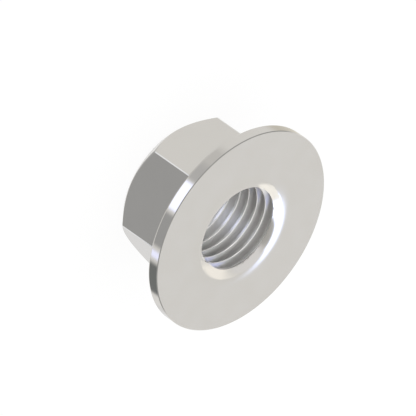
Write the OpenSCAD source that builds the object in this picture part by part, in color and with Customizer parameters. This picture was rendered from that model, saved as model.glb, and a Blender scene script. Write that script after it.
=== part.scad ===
// Hex nut with a wide flange, forged and tapped in one piece.
// It stands on the free end of its hexagon, and its bearing face is on top.
// The Z axis is the thread's axis, and Z = 0 is the end face that it stands on.

/* [Overall] */
// Height from the end face to the bearing face
height = 11.3; // [10.4:0.1:16]

/* [Hexagon] */
// Width across the flats, which a spanner holds
across_flats = 17; // [16.6:0.1:19.6]
// Diameter of the flat ring that the end chamfer leaves on the end face
end_face_d = 16.3; // [14.8:0.1:16.5]
// Slope of the end chamfer, from the end face
end_chamfer_angle = 45; // [20:1:50]

/* [Flange] */
// Diameter of the flange
flange_d = 26.3; // [24.2:0.1:32]
// Height of the flange's round rim
rim_h = 1.46; // [1.1:0.02:2.2]
// Slope of the flange's back, from the bearing face
back_angle = 20; // [10:1:30]
// Width of the bevels on the rim's two edges
rim_bevel = 0.09; // [0.05:0.01:0.3]

/* [Bore] */
// Diameter over the crests of a 12 mm thread with a 1.5 mm pitch
bore_d = 10.52; // [10.1:0.02:11]
// Diameter of the countersink in the end face
end_mouth_d = 13; // [12:0.1:13.8]
// Slope of the countersink in the end face
end_mouth_angle = 25; // [15:1:45]
// Diameter of the countersink in the bearing face
mouth_d = 12.9; // [12.4:0.05:14.4]
// Slope of the countersink in the bearing face
mouth_angle = 13; // [10:0.5:30]
// Diameter of the shallow lip around the countersink
lip_d = 15.6; // [14.8:0.1:18]
// Slope of that lip
lip_angle = 1.7; // [1:0.1:8]

/* [Hidden] */
$fn = 96;
steel = [0.75, 0.74, 0.72];
// Length that a cutter runs past the face that it cuts
over = 1;
flange_r = flange_d / 2;
flat_r = across_flats / 2;
corner_r = flat_r / cos(30);
bore_r = bore_d / 2;
mouth_r = mouth_d / 2;
lip_r = lip_d / 2;
end_mouth_r = end_mouth_d / 2;
end_face_r = end_face_d / 2;
rim_z = height - rim_h;
// The flange's back cone starts inside the hexagon, so that the two are one solid
root_r = flat_r - over;
root_z = rim_z - (flange_r - root_r) * tan(back_angle);
lip_z = height - (lip_r - mouth_r) * tan(lip_angle);
// The countersink runs on inside the bore, which then trims it
inner_r = bore_r - over;
inner_z = lip_z - (mouth_r - inner_r) * tan(mouth_angle);

// Six-sided prism whose free end is turned to a chamfer
module hexagon() {
    intersection() {
        cylinder(r = corner_r, h = rim_z, $fn = 6);
        cylinder(r1 = end_face_r, r2 = end_face_r + rim_z / tan(end_chamfer_angle), h = rim_z);
    }
}

// Half section of the flange, with the lip and countersink of its bearing face
module flange_section() {
    polygon([
        [0, root_z],
        [root_r, root_z],
        [flange_r - rim_bevel, rim_z - rim_bevel * tan(back_angle)],
        [flange_r, rim_z + rim_bevel],
        [flange_r, height - rim_bevel],
        [flange_r - rim_bevel, height],
        [lip_r, height],
        [mouth_r, lip_z],
        [inner_r, inner_z],
        [0, inner_z]
    ]);
}

module flange() {
    rotate_extrude() flange_section();
}

// Through hole with the countersink of the end face
module bore() {
    translate([0, 0, -over]) cylinder(r = bore_r, h = height + 2 * over);
    translate([0, 0, -over])
        cylinder(
            r1 = end_mouth_r + over / tan(end_mouth_angle),
            r2 = bore_r - over / tan(end_mouth_angle),
            h = 2 * over + (end_mouth_r - bore_r) * tan(end_mouth_angle)
        );
}

module flange_nut() {
    color(steel)
        difference() {
            union() {
                hexagon();
                flange();
            }
            bore();
        }
}

flange_nut();
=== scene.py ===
import math

import bmesh
import bpy
from mathutils import Matrix, Vector


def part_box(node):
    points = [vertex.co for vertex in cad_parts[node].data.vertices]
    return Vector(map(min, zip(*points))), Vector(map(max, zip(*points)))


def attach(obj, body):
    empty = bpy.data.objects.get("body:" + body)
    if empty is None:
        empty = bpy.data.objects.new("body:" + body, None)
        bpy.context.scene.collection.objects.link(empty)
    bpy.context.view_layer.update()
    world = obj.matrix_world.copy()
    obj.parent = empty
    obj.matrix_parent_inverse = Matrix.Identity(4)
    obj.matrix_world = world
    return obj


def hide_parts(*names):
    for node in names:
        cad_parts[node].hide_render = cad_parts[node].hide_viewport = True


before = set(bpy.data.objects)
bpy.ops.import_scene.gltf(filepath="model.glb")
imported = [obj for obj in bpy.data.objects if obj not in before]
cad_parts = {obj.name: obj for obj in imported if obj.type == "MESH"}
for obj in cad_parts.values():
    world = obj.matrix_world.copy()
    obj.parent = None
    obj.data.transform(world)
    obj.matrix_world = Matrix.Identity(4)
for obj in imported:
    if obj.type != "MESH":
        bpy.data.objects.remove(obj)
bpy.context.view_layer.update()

MM = 0.001

# Sizes in millimetres. The height and the flange come from the frame.
NUT_LOW, NUT_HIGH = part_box("flange_nut")
HEIGHT = NUT_HIGH[2] / MM
FLANGE_R = (NUT_HIGH[0] - NUT_LOW[0]) / 2 / MM
RIM_H = 1.46
RIM_BEVEL = 0.09
BACK_ANGLE = math.radians(20)

# The hexagon, with its rounded corners and its chamfered end
HALF_SECTOR = math.radians(30)
FLAT_R = 8.5
CORNER_ROUND = 0.18
END_FACE_R = 8.15
END_CHAMFER = math.radians(45)
EDGE_BREAK = 0.03
ROOT_FILLET = 0.35
ROOT_FILLET_STEPS = 8
END_MOUTH_R = 6.5
END_MOUTH_ANGLE = math.radians(25)

# The point that softens the rim's lower edge lies this far in from the rim and below the edge
RIM_EDGE_IN = 0.02
RIM_EDGE_DOWN = 0.04

# Rows of points this far from an edge keep the shading of the face beside it flat
END_MOUTH_MARGIN = 0.05
BACK_MARGIN = 0.3
RIM_MARGIN = 0.1
FACE_MARGIN = 0.2
LIP_MARGIN = 0.3

# The mouth in the bearing face: a faint lip and a shallow countersink
LIP_R = 7.8
LIP_ANGLE = math.radians(1.7)
LIP_STEPS = 10
MOUTH_R = 6.45
MOUTH_SLOPE = math.tan(math.radians(8.5))
INNER_SLOPE = math.tan(math.radians(16.5))
LIP_Z = HEIGHT - (LIP_R - MOUTH_R) * math.tan(LIP_ANGLE)
BORE_R = 5.26

# The thread is right-hand, and its first groove runs out where it meets the bearing face.
# The roundings of a crest's two edges meet, because each is wider than half of the crest.
PITCH = 1.405
CREST_FLAT = 0.05
CREST_ROUND = 0.07
THREAD_DEPTH = 0.8
FLANK_SLOPE = math.tan(math.radians(30))
GROOVE_START = 0.08
GROOVE_FULL = 0.2

# Crests are numbered downward, and 0 is the first one under the bearing face. The upper ones
# have more rows of points.
FIRST_CREST = -4
LAST_CREST = 8
LAST_FINE_CREST = 1
FINE_FLANK_STEPS = 10
FLANK_STEPS = 6
FLANK_STEPS_PER_FLOOR_STEP = 5
CREST_ROUND_STEPS = 2

# A point of the inner wall turns into flank between these depths behind the crests. The mark
# of a crest, a painted highlight, fades in over CREST_FADE from a countersink, and a point
# within TOUCH lies on one.
FLANK_FROM = 0.04
FLANK_FULL = 0.09
CREST_FADE = 0.4
TOUCH = 1e-4

# The mesh is made of sections round the axis, at these steps in degrees, with more of them on
# the rounding of each corner
AZIMUTH_STEP = 1.5
CORNER_AZIMUTHS = range(0, 360, 60)
CORNER_STEPS = 4
# This share of each corner's rounding carries the corner mark, a painted highlight
CORNER_HIGHLIGHT_SHARE = 0.9

# Points closer than the first length are joined, and edges shorter than the second dissolved
WELD_DISTANCE = 0.0002
DEGENERATE_LENGTH = 0.0001

# Edges between faces that turn by more than this stay crisp, and large faces lead the normals
SHARP_ANGLE = math.radians(35)
FACE_WEIGHT = 100

# Where the camera stands, seen from the bearing face, and how far it is turned about its own
# axis. The clip distances are in metres.
CAMERA_AZIMUTH = math.radians(-109.27)
CAMERA_ELEVATION = math.radians(34.9)
CAMERA_ROLL = math.radians(124.97)
CAMERA_DISTANCE = 300
CLIP_START_M = 0.001
CLIP_END_M = 10

# The picture: its size, the flange's radius in it and the place of the bearing face's centre
IMAGE_PX = 416
FLANGE_R_PX = 113.255
PX_PER_MM = FLANGE_R_PX / FLANGE_R
FACE_CENTRE_PX = (240.17, 230.35)

# The middle of this crest lies so far below the bearing face, straight across from the camera
MAIN_CREST = 3
CREST_DEPTH = 4.624
CREST_AZIMUTH = CAMERA_AZIMUTH + math.pi

# The floor, and how much it reflects and glows
FLOOR_HALF_M = 20.0
FLOOR_GAP = 0.02
FLOOR_TONE = 0.12
FLOOR_GLOW = 0.9

# Each point of the mesh carries these three marks, which give it its tone and roughness. The
# flank tone is painted light and the crest and corner tones are painted highlights.
MARK_NAMES = ("flank", "crest", "corner")
PLAIN = (0.0, 0.0, 0.0)
CORNER_HIGHLIGHT_MARKS = (0.0, 0.0, 1.0)


def back_height(r):
    """Height of the flange's back at a radius."""
    return HEIGHT - RIM_H - (FLANGE_R - r) * math.tan(BACK_ANGLE)


def corner_reach():
    """Half the angle that the rounding of a corner takes up round the axis."""
    return HALF_SECTOR - math.atan((FLAT_R - CORNER_ROUND) * math.tan(HALF_SECTOR) / FLAT_R)


def off_corner_angle(angle):
    """How far an azimuth is from the nearest corner. A corner lies at azimuth 0."""
    return abs((angle + HALF_SECTOR) % (2 * HALF_SECTOR) - HALF_SECTOR)


def hexagon_radius(angle):
    """Radius of the rounded hexagon at an azimuth."""
    off_corner = off_corner_angle(angle)
    if off_corner > corner_reach():
        return FLAT_R / math.cos(HALF_SECTOR - off_corner)
    centre = (FLAT_R - CORNER_ROUND) / math.cos(HALF_SECTOR)
    off_centre = centre * math.sin(off_corner)
    return centre * math.cos(off_corner) + math.sqrt(CORNER_ROUND ** 2 - off_centre ** 2)


def hexagon_end(hex_r):
    """Points (r, z) from the end countersink over the end face and up its chamfer."""
    slope = math.tan(END_CHAMFER)
    chamfer_top = (hex_r - END_FACE_R) * slope
    return [
        (END_MOUTH_R, 0.0),
        (END_MOUTH_R + END_MOUTH_MARGIN, 0.0),
        (END_FACE_R - EDGE_BREAK, 0.0),
        (END_FACE_R + EDGE_BREAK, EDGE_BREAK * slope),
        (hex_r - EDGE_BREAK, chamfer_top - EDGE_BREAK * slope),
    ]


def hexagon_wall(hex_r):
    """The points (r, z) at the two ends of the hexagon's upright wall."""
    low = (hex_r - END_FACE_R) * math.tan(END_CHAMFER) + EDGE_BREAK
    high = back_height(hex_r) - ROOT_FILLET * math.tan((math.pi / 2 - BACK_ANGLE) / 2)
    return [(hex_r, low), (hex_r, high)]


def root_fillet(hex_r, wall_top):
    """Points (r, z) of the fillet between the hexagon's wall and the flange's back."""
    full_turn = math.pi / 2 - BACK_ANGLE
    turns = [full_turn * i / ROOT_FILLET_STEPS for i in range(1, ROOT_FILLET_STEPS + 1)]
    return [
        (hex_r + ROOT_FILLET * (1 - math.cos(t)), wall_top + ROOT_FILLET * math.sin(t))
        for t in turns
    ]


def flange_profile():
    """Points (r, z) from the flange's back over its rim to the bearing face."""
    bevel_r = FLANGE_R - RIM_BEVEL
    rim_low = HEIGHT - RIM_H + RIM_BEVEL
    rim_high = HEIGHT - RIM_BEVEL
    return [
        (bevel_r - BACK_MARGIN, back_height(bevel_r - BACK_MARGIN)),
        (bevel_r, back_height(bevel_r)),
        (FLANGE_R - RIM_EDGE_IN, rim_low - RIM_EDGE_DOWN),
        (FLANGE_R, rim_low),
        (FLANGE_R, rim_low + RIM_MARGIN),
        (FLANGE_R, rim_high - RIM_MARGIN),
        (FLANGE_R, rim_high),
        (bevel_r, HEIGHT),
        (bevel_r - FACE_MARGIN, HEIGHT),
        (LIP_R + LIP_MARGIN, HEIGHT),
    ]


def lip_profile():
    """Points (r, z) of the lip, an arc whose slope grows inward from nothing."""
    end_tilt = 2 * LIP_ANGLE
    radius = (LIP_R - MOUTH_R) / math.sin(end_tilt)
    tilts = [end_tilt * i / LIP_STEPS for i in range(LIP_STEPS)]
    points = [(LIP_R - radius * math.sin(t), HEIGHT - radius * (1 - math.cos(t))) for t in tilts]
    return points + [(MOUTH_R, LIP_Z)]


def mouth_radius(z):
    """Radius of the countersink's surface at a height. Its slope grows inward."""
    growth = (INNER_SLOPE - MOUTH_SLOPE) / (MOUTH_R - BORE_R)
    depth = max(LIP_Z - z, 0.0)
    return MOUTH_R - (math.sqrt(MOUTH_SLOPE ** 2 + 2 * growth * depth) - MOUTH_SLOPE) / growth


def end_mouth_radius(z):
    """Radius of the end countersink's surface at a height."""
    return END_MOUTH_R - z / math.tan(END_MOUTH_ANGLE)


def cut_radius(z):
    """Radius of whichever countersink is wider at a height."""
    return max(mouth_radius(z), end_mouth_radius(z))


def ease(value, start, end):
    """0 under start, 1 over end, and smooth between."""
    share = min(max((value - start) / (end - start), 0.0), 1.0)
    return share * share * (3 - 2 * share)


def thread_radius(offset, groove_depth):
    """Radius of the thread at a distance along the axis from the middle of a crest."""
    past = abs(offset) - CREST_FLAT / 2
    if past < CREST_ROUND:
        lift = (past + CREST_ROUND) ** 2 / (4 * CREST_ROUND) / FLANK_SLOPE
    else:
        lift = past / FLANK_SLOPE
    return BORE_R + min(lift, groove_depth)


def tooth_offsets(flank_steps):
    """Distances along the axis, from the middle of a crest, at which half a tooth is sampled.

    The first two are negative, so the mesh folds over itself by 0.045 mm at each crest.
    """
    edge = CREST_FLAT / 2
    root = edge + THREAD_DEPTH * FLANK_SLOPE
    floor_steps = flank_steps // FLANK_STEPS_PER_FLOOR_STEP
    rounding = range(-CREST_ROUND_STEPS, CREST_ROUND_STEPS + 1)
    offsets = [edge + CREST_ROUND * i / CREST_ROUND_STEPS for i in rounding]
    first = offsets[-1]
    offsets += [first + (root - first) * i / flank_steps for i in range(1, flank_steps + 1)]
    offsets += [root + (PITCH / 2 - root) * i / (floor_steps + 1) for i in range(1, floor_steps + 1)]
    return offsets


def thread_rows():
    """Each row's crest number and its distance below the middle of that crest."""
    rows = []
    for crest in range(FIRST_CREST, LAST_CREST + 1):
        half = tooth_offsets(FINE_FLANK_STEPS if crest <= LAST_FINE_CREST else FLANK_STEPS)
        rows.append((crest, 0.0))
        rows += [(crest, offset) for offset in half]
        rows += [(crest, PITCH - offset) for offset in reversed(half)]
    return rows


THREAD_ROWS = thread_rows()


def thread_point(row, turns):
    """The point (r, z) of the bare thread on a row, some turns round from the main crest."""
    crest, below = row
    crest_z = HEIGHT - CREST_DEPTH + PITCH * (turns + MAIN_CREST - crest)
    groove_z = crest_z - PITCH / 2
    depth = THREAD_DEPTH * ease(HEIGHT - groove_z, GROOVE_START, GROOVE_FULL)
    offset = min(below, PITCH - below)
    return thread_radius(offset, depth), crest_z - below


def inner_wall(angle):
    """Points (r, z) down the inside of the nut: a countersink, the thread and a countersink."""
    turns = (angle - CREST_AZIMUTH) / (2 * math.pi)
    bare = [thread_point(row, turns) for row in THREAD_ROWS]
    points = []
    for r, z in bare:
        if z >= LIP_Z:
            points.append((MOUTH_R, LIP_Z))
        elif z <= 0:
            points.append((END_MOUTH_R, 0.0))
        else:
            points.append((max(r, cut_radius(z)), z))
    snap_crossings(bare, points)
    return points


def snap_crossings(bare, points):
    """Moves a point onto each edge between the thread and a cut, so that the edge is crisp."""
    over = [cut_radius(z) - r for r, z in bare]
    for i in range(len(bare) - 1):
        inside = 0.0 < bare[i][1] < LIP_Z and 0.0 < bare[i + 1][1] < LIP_Z
        if inside and (over[i] > 0) != (over[i + 1] > 0):
            share = over[i] / (over[i] - over[i + 1])
            z = bare[i][1] + (bare[i + 1][1] - bare[i][1]) * share
            points[i if share < 0.5 else i + 1] = (cut_radius(z), z)


def thread_marks(point):
    """The marks of a point of the inner wall: painted light on a flank, a painted highlight on a
    crest.
    """
    r, z = point
    if not 0.0 < z < LIP_Z or r < cut_radius(z) + TOUCH:
        return PLAIN
    flank = ease(r - BORE_R, FLANK_FROM, FLANK_FULL)
    clear_of_cut = ease(r - cut_radius(z), 0.0, CREST_FADE)
    return flank, (1.0 - flank) * clear_of_cut, 0.0


def section(angle):
    """The nut's closed half section at an azimuth, and the marks of its points."""
    hex_r = hexagon_radius(angle)
    end = hexagon_end(hex_r)
    wall = hexagon_wall(hex_r)
    flange = root_fillet(hex_r, wall[1][1]) + flange_profile() + lip_profile()
    inside = inner_wall(angle)
    # The rounding of a hexagon corner carries the corner mark, a painted highlight
    on_corner = off_corner_angle(angle) < CORNER_HIGHLIGHT_SHARE * corner_reach()
    marks = [PLAIN] * len(end) + [CORNER_HIGHLIGHT_MARKS if on_corner else PLAIN] * len(wall)
    marks += [PLAIN] * len(flange) + [thread_marks(point) for point in inside]
    return end + wall + flange + inside, marks


def azimuths():
    """Azimuths of the sections: even steps, with more round the hexagon's corners."""
    steps = [AZIMUTH_STEP * i for i in range(round(360 / AZIMUTH_STEP))]
    degrees = [step for step in steps if step not in CORNER_AZIMUTHS]
    touch = math.degrees(corner_reach())
    for corner in CORNER_AZIMUTHS:
        degrees += [
            (corner + touch * i / CORNER_STEPS) % 360
            for i in range(-CORNER_STEPS, CORNER_STEPS + 1)
        ]
    return [math.radians(a) for a in sorted(degrees)] + [2 * math.pi]


def make_nut():
    """The whole nut as one closed mesh."""
    sections = [section(angle) for angle in azimuths()]
    rows = len(sections[0][0])
    vertices, faces = [], []
    for angle, (column, _) in zip(azimuths(), sections):
        c, s = math.cos(angle), math.sin(angle)
        vertices += [(r * c * MM, r * s * MM, z * MM) for r, z in column]
    for i in range(len(sections) - 1):
        for j in range(rows):
            a, b = i * rows + j, i * rows + (j + 1) % rows
            faces.append((a, a + rows, b + rows, b))
    mesh = bpy.data.meshes.new("flange_nut_body")
    mesh.from_pydata(vertices, [], faces)
    # The marks carry painted light, a lighter flank and highlights on crests and corners, and
    # roughness
    for i, name in enumerate(MARK_NAMES):
        attribute = mesh.attributes.new(name, "FLOAT", "POINT")
        values = [marks[i] for _, column_marks in sections for marks in column_marks]
        attribute.data.foreach_set("value", values)
    nut = bpy.data.objects.new("flange_nut_body", mesh)
    bpy.context.collection.objects.link(nut)
    weld(mesh)
    return nut


def weld(mesh):
    """Joins the points that lie on each other and makes the normals point out."""
    bm = bmesh.new()
    bm.from_mesh(mesh)
    bmesh.ops.remove_doubles(bm, verts=bm.verts, dist=WELD_DISTANCE * MM)
    bmesh.ops.dissolve_degenerate(bm, edges=bm.edges, dist=DEGENERATE_LENGTH * MM)
    bmesh.ops.recalc_face_normals(bm, faces=bm.faces)
    bm.to_mesh(mesh)
    bm.free()


def finish_shading(nut):
    """Smooth shading with crisp edges, which keeps the flat faces flat."""
    for polygon in nut.data.polygons:
        polygon.use_smooth = True
    nut.data.set_sharp_from_angle(angle=SHARP_ANGLE)
    weighted = nut.modifiers.new("weighted_normals", "WEIGHTED_NORMAL")
    weighted.keep_sharp = True
    weighted.weight = FACE_WEIGHT


class Nodes:
    """Short calls for a node tree."""

    # Sockets of a Mix node that mixes colours
    MIX_INPUTS = (0, 6, 7)
    MIX_OUTPUT = 2

    def __init__(self, tree):
        self.tree = tree
        tree.nodes.clear()

    def add(self, kind, **settings):
        node = self.tree.nodes.new(kind)
        for name, value in settings.items():
            setattr(node, name, value)
        return node

    def link(self, source, target):
        if isinstance(source, (int, float, tuple)):
            target.default_value = source
        else:
            self.tree.links.new(source, target)

    def math(self, operation, *values):
        node = self.add("ShaderNodeMath", operation=operation)
        for value, socket in zip(values, node.inputs):
            self.link(value, socket)
        return node.outputs[0]

    def blend(self, share, low, high):
        node = self.add("ShaderNodeMix", data_type="RGBA")
        for value, i in zip((share, low, high), self.MIX_INPUTS):
            self.link(value, node.inputs[i])
        return node.outputs[self.MIX_OUTPUT]

    def step(self, value, start, end):
        """1 where value is under start, 0 where it is over end, and smooth between."""
        node = self.add("ShaderNodeMapRange", interpolation_type="SMOOTHSTEP")
        for source, socket in zip((value, start, end, 1.0, 0.0), node.inputs):
            self.link(source, socket)
        return node.outputs[0]

    def split(self, vector):
        """The x, y and z of a vector."""
        node = self.add("ShaderNodeSeparateXYZ")
        self.link(vector, node.inputs[0])
        return node.outputs

    def mark(self, name):
        """One of the marks that the mesh carries."""
        return self.add("ShaderNodeAttribute", attribute_name=name).outputs["Fac"]


def light(red, green, blue, strength=1.0):
    """A colour with alpha, at a strength."""
    return (red * strength, green * strength, blue * strength, 1.0)


def both_sides(name, azimuth, *rest):
    """The same panel on both sides of the camera."""
    return [(name + "_left", -azimuth, *rest), (name + "_right", azimuth, *rest)]


WHITE = light(1.0, 1.0, 1.0)

# The studio round the nut. Each panel has a name, an azimuth from the camera's (clockwise from
# above), an elevation, half its width and height, the softness of its edges across and along,
# and its light. Angles are in degrees. A later panel lies over an earlier one.
PANELS = [
    ("front_card", 0, 56, 50, 11, 10, 3, light(0.98, 1.0, 1.02, 0.48)),
    *both_sides("side_flag", 74, 43, 30, 12, 10, 4, light(0.98, 1.0, 1.02, 0.48)),
    *both_sides("low_flag", 112, 22, 18, 14, 6, 5, light(0.98, 1.0, 1.02, 0.48)),
    ("mouth_light", 0, 20, 64, 18, 8, 5, light(1.02, 1.0, 0.98, 1.9)),
    *both_sides("cheek", 84, 6, 24, 12, 6, 4, light(1.02, 1.0, 0.98, 1.9)),
    ("far_card", -163, -34, 17, 8, 4, 3, light(0.95, 0.95, 0.96, 0.92)),
    ("dark_flag", -105, -34, 20.5, 8, 4, 3, light(0.92, 0.98, 1.0, 0.26)),
    ("thin_strip", -74.5, -34, 4, 8, 2.5, 3, light(0.85, 0.89, 1.15, 1.6)),
    ("grey_card", -46, -34, 19, 8, 3, 3, light(0.98, 1.0, 1.03, 0.505)),
    ("key_strip", -6, -34, 16.5, 5, 2.5, 2, light(0.94, 1.0, 1.3, 1.8)),
    ("side_card", 26, -34, 13, 8, 3, 3, light(0.99, 1.0, 1.02, 0.68)),
    ("side_card_edge", 47, -34, 12, 8, 8, 3, light(1.0, 1.0, 1.0, 0.8)),
    ("warm_card", 151, -34, 24, 8, 10, 3, light(1.02, 0.98, 0.88, 0.76)),
    ("ceiling", 0, 90, 181, 34, 2, 1.5, light(1.0, 1.0, 0.99, 0.62)),
    ("ceiling_glow", 166, 60, 13, 12, 6, 4, light(1.0, 1.0, 1.03, 1.06)),
    ("overhead_box", -165.8, 46.6, 15.4, 8.6, 1, 1, light(0.9, 1.0, 1.35, 2.2)),
    ("cream_panel", -156, 32.8, 12, 9.2, 1, 0.8, light(1.01, 1.0, 0.975, 1.46)),
    ("cream_glow", 158, 34, 12, 10, 3, 5, light(1.02, 1.0, 0.965, 1.38)),
    *both_sides("blue", 125, 43, 9, 9, 4, 4, light(0.8, 0.85, 1.35, 1.15)),
    *both_sides("cream", 148, 16, 8, 11, 3, 4, light(1.03, 1.0, 0.95, 1.6)),
    ("under_card", 0, -90, 181, 28, 2, 4, light(0.98, 1.0, 1.02, 0.5)),
]

# The steel's tones: plain, between the first two, and where the mesh carries a mark. The tones of
# the marks are painted light: a lighter flank and painted highlights on crests and corners
STEEL_DARK = light(0.590, 0.570, 0.535)
STEEL_LIGHT = light(0.612, 0.592, 0.556)
FLANK_PAINTED_LIGHT = light(0.75, 0.745, 0.735)
CREST_PAINTED_HIGHLIGHT = light(1.0, 0.99, 0.97)
CORNER_PAINTED_HIGHLIGHT = light(0.74, 0.74, 0.74)

# The steel's roughness, and what the mottle, the turning marks and two marks add to it
BASE_ROUGHNESS = 0.055
MOTTLE_ROUGHNESS = 0.05
RING_ROUGHNESS = 0.02
FLANK_ROUGHNESS = 0.22
CREST_ROUGHNESS = 0.16

# The noise of the turning marks and of the mottle. Scales are per metre, and the depth of the
# turning marks is in millimetres.
RING_SCALE = 9000.0
RING_DETAIL = 3.0
RING_BUMP = 0.05
RING_DEPTH = 0.003
MOTTLE_SCALE = 420.0
MOTTLE_DETAIL = 4.0


def make_studio():
    """A white studio with panels: what the metal mirrors. The camera itself sees plain white."""
    world = bpy.data.worlds.new("studio")
    bpy.context.scene.world = world
    world.use_nodes = True
    nodes = Nodes(world.node_tree)
    x, y, z = nodes.split(nodes.add("ShaderNodeTexCoord").outputs["Generated"])
    azimuth = nodes.math("SUBTRACT", CAMERA_AZIMUTH, nodes.math("ARCTAN2", y, x))
    elevation = nodes.math("ARCSINE", z)
    colour = WHITE
    for name, az, el, half_w, half_h, soft_w, soft_h, lamp in PANELS:
        off = nodes.math("SUBTRACT", azimuth, math.radians(az))
        across = nodes.math("ABSOLUTE", nodes.math("WRAP", off, math.pi, -math.pi))
        along = nodes.math("ABSOLUTE", nodes.math("SUBTRACT", elevation, math.radians(el)))
        sides = [math.radians(v) for v in (half_w - soft_w, half_w + soft_w)]
        ends = [math.radians(v) for v in (half_h - soft_h, half_h + soft_h)]
        mask = nodes.math("MULTIPLY", nodes.step(across, *sides), nodes.step(along, *ends))
        colour = nodes.blend(mask, colour, lamp)
        colour.node.label = name
    path = nodes.add("ShaderNodeLightPath").outputs
    mirrored = nodes.blend(path["Is Glossy Ray"], WHITE, colour)
    background = nodes.add("ShaderNodeBackground")
    nodes.link(nodes.blend(path["Is Camera Ray"], mirrored, WHITE), background.inputs["Color"])
    output = nodes.add("ShaderNodeOutputWorld")
    nodes.link(background.outputs[0], output.inputs["Surface"])


def make_floor_material():
    """A dim white that glows, so that a shadow on it stays faint."""
    material = bpy.data.materials.new("white_floor")
    material.use_nodes = True
    nodes = Nodes(material.node_tree)
    diffuse = nodes.add("ShaderNodeBsdfDiffuse")
    diffuse.inputs["Color"].default_value = light(FLOOR_TONE, FLOOR_TONE, FLOOR_TONE)
    glow = nodes.add("ShaderNodeEmission")
    glow.inputs["Color"].default_value = WHITE
    glow.inputs["Strength"].default_value = FLOOR_GLOW
    both = nodes.add("ShaderNodeAddShader")
    nodes.link(diffuse.outputs[0], both.inputs[0])
    nodes.link(glow.outputs[0], both.inputs[1])
    output = nodes.add("ShaderNodeOutputMaterial")
    nodes.link(both.outputs[0], output.inputs["Surface"])
    return material


def make_floor():
    """A plain white floor, which the steel doesn't mirror."""
    low, high = -FLOOR_HALF_M, FLOOR_HALF_M
    corners = [(low, low, 0), (high, low, 0), (high, high, 0), (low, high, 0)]
    mesh = bpy.data.meshes.new("floor")
    mesh.from_pydata(corners, [], [(0, 1, 2, 3)])
    mesh.materials.append(make_floor_material())
    floor = bpy.data.objects.new("floor", mesh)
    bpy.context.collection.objects.link(floor)
    floor.location.z = -FLOOR_GAP * MM
    floor.visible_glossy = False
    floor.visible_shadow = False


def make_steel():
    """Bright steel with faint turning marks round the axis, and painted light from the mesh's marks.
    """
    material = bpy.data.materials.new("bright_steel")
    material.use_nodes = True
    nodes = Nodes(material.node_tree)
    place = nodes.add("ShaderNodeTexCoord").outputs["Object"]
    x, y, _ = nodes.split(place)
    squares = nodes.math("ADD", nodes.math("MULTIPLY", x, x), nodes.math("MULTIPLY", y, y))
    rings = nodes.add("ShaderNodeTexNoise", noise_dimensions="1D")
    nodes.link(nodes.math("MULTIPLY", nodes.math("SQRT", squares), RING_SCALE), rings.inputs["W"])
    rings.inputs["Detail"].default_value = RING_DETAIL
    mottle = nodes.add("ShaderNodeTexNoise")
    nodes.link(place, mottle.inputs["Vector"])
    mottle.inputs["Scale"].default_value = MOTTLE_SCALE
    mottle.inputs["Detail"].default_value = MOTTLE_DETAIL
    flank, crest, corner = [nodes.mark(name) for name in MARK_NAMES]
    tone = nodes.blend(mottle.outputs[0], STEEL_DARK, STEEL_LIGHT)
    rough = nodes.math("MULTIPLY_ADD", mottle.outputs[0], MOTTLE_ROUGHNESS, BASE_ROUGHNESS)
    rough = nodes.math("MULTIPLY_ADD", rings.outputs[0], RING_ROUGHNESS, rough)
    # Painted light: the flank mark lightens the flanks, and the crest and corner marks paint
    # highlights
    for mark, painted_tone in ((flank, FLANK_PAINTED_LIGHT), (crest, CREST_PAINTED_HIGHLIGHT), (corner, CORNER_PAINTED_HIGHLIGHT)):
        tone = nodes.blend(mark, tone, painted_tone)
    for mark, mark_roughness in ((flank, FLANK_ROUGHNESS), (crest, CREST_ROUGHNESS)):
        rough = nodes.math("MULTIPLY_ADD", mark, mark_roughness, rough)
    bump = nodes.add("ShaderNodeBump")
    bump.inputs["Strength"].default_value = RING_BUMP
    bump.inputs["Distance"].default_value = RING_DEPTH * MM
    nodes.link(rings.outputs[0], bump.inputs["Height"])
    principled = nodes.add("ShaderNodeBsdfPrincipled")
    principled.inputs["Metallic"].default_value = 1.0
    nodes.link(tone, principled.inputs["Base Color"])
    nodes.link(rough, principled.inputs["Roughness"])
    nodes.link(bump.outputs[0], principled.inputs["Normal"])
    output = nodes.add("ShaderNodeOutputMaterial")
    nodes.link(principled.outputs[0], output.inputs["Surface"])
    return material


def view_axes():
    """The directions right, down and forward of the picture."""
    cos_az, sin_az = math.cos(CAMERA_AZIMUTH), math.sin(CAMERA_AZIMUTH)
    cos_el, sin_el = math.cos(CAMERA_ELEVATION), math.sin(CAMERA_ELEVATION)
    forward = Vector((-cos_az * cos_el, -sin_az * cos_el, -sin_el))
    level = Vector((-sin_az, cos_az, 0))
    right = level * math.cos(CAMERA_ROLL) + level.cross(forward) * math.sin(CAMERA_ROLL)
    return right, forward.cross(right), forward


def make_camera():
    """A camera without perspective, because the photograph has next to none."""
    right, down, forward = view_axes()
    middle = (IMAGE_PX - 1) / 2
    off_x, off_y = ((p - middle) / PX_PER_MM for p in FACE_CENTRE_PX)
    target = (Vector((0, 0, HEIGHT)) - right * off_x - down * off_y) * MM
    data = bpy.data.cameras.new("camera")
    data.type = "ORTHO"
    data.ortho_scale = IMAGE_PX / PX_PER_MM * MM
    data.clip_start = CLIP_START_M
    data.clip_end = CLIP_END_M
    camera = bpy.data.objects.new("camera", data)
    bpy.context.collection.objects.link(camera)
    axes = Matrix((right, -down, -forward)).transposed().to_4x4()
    camera.matrix_world = Matrix.Translation(target - forward * CAMERA_DISTANCE * MM) @ axes
    bpy.context.scene.camera = camera


bpy.context.scene.view_settings.view_transform = "Standard"
make_camera()
make_studio()
make_floor()

nut = make_nut()
nut.data.materials.append(make_steel())
finish_shading(nut)
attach(nut, "root")
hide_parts("flange_nut")
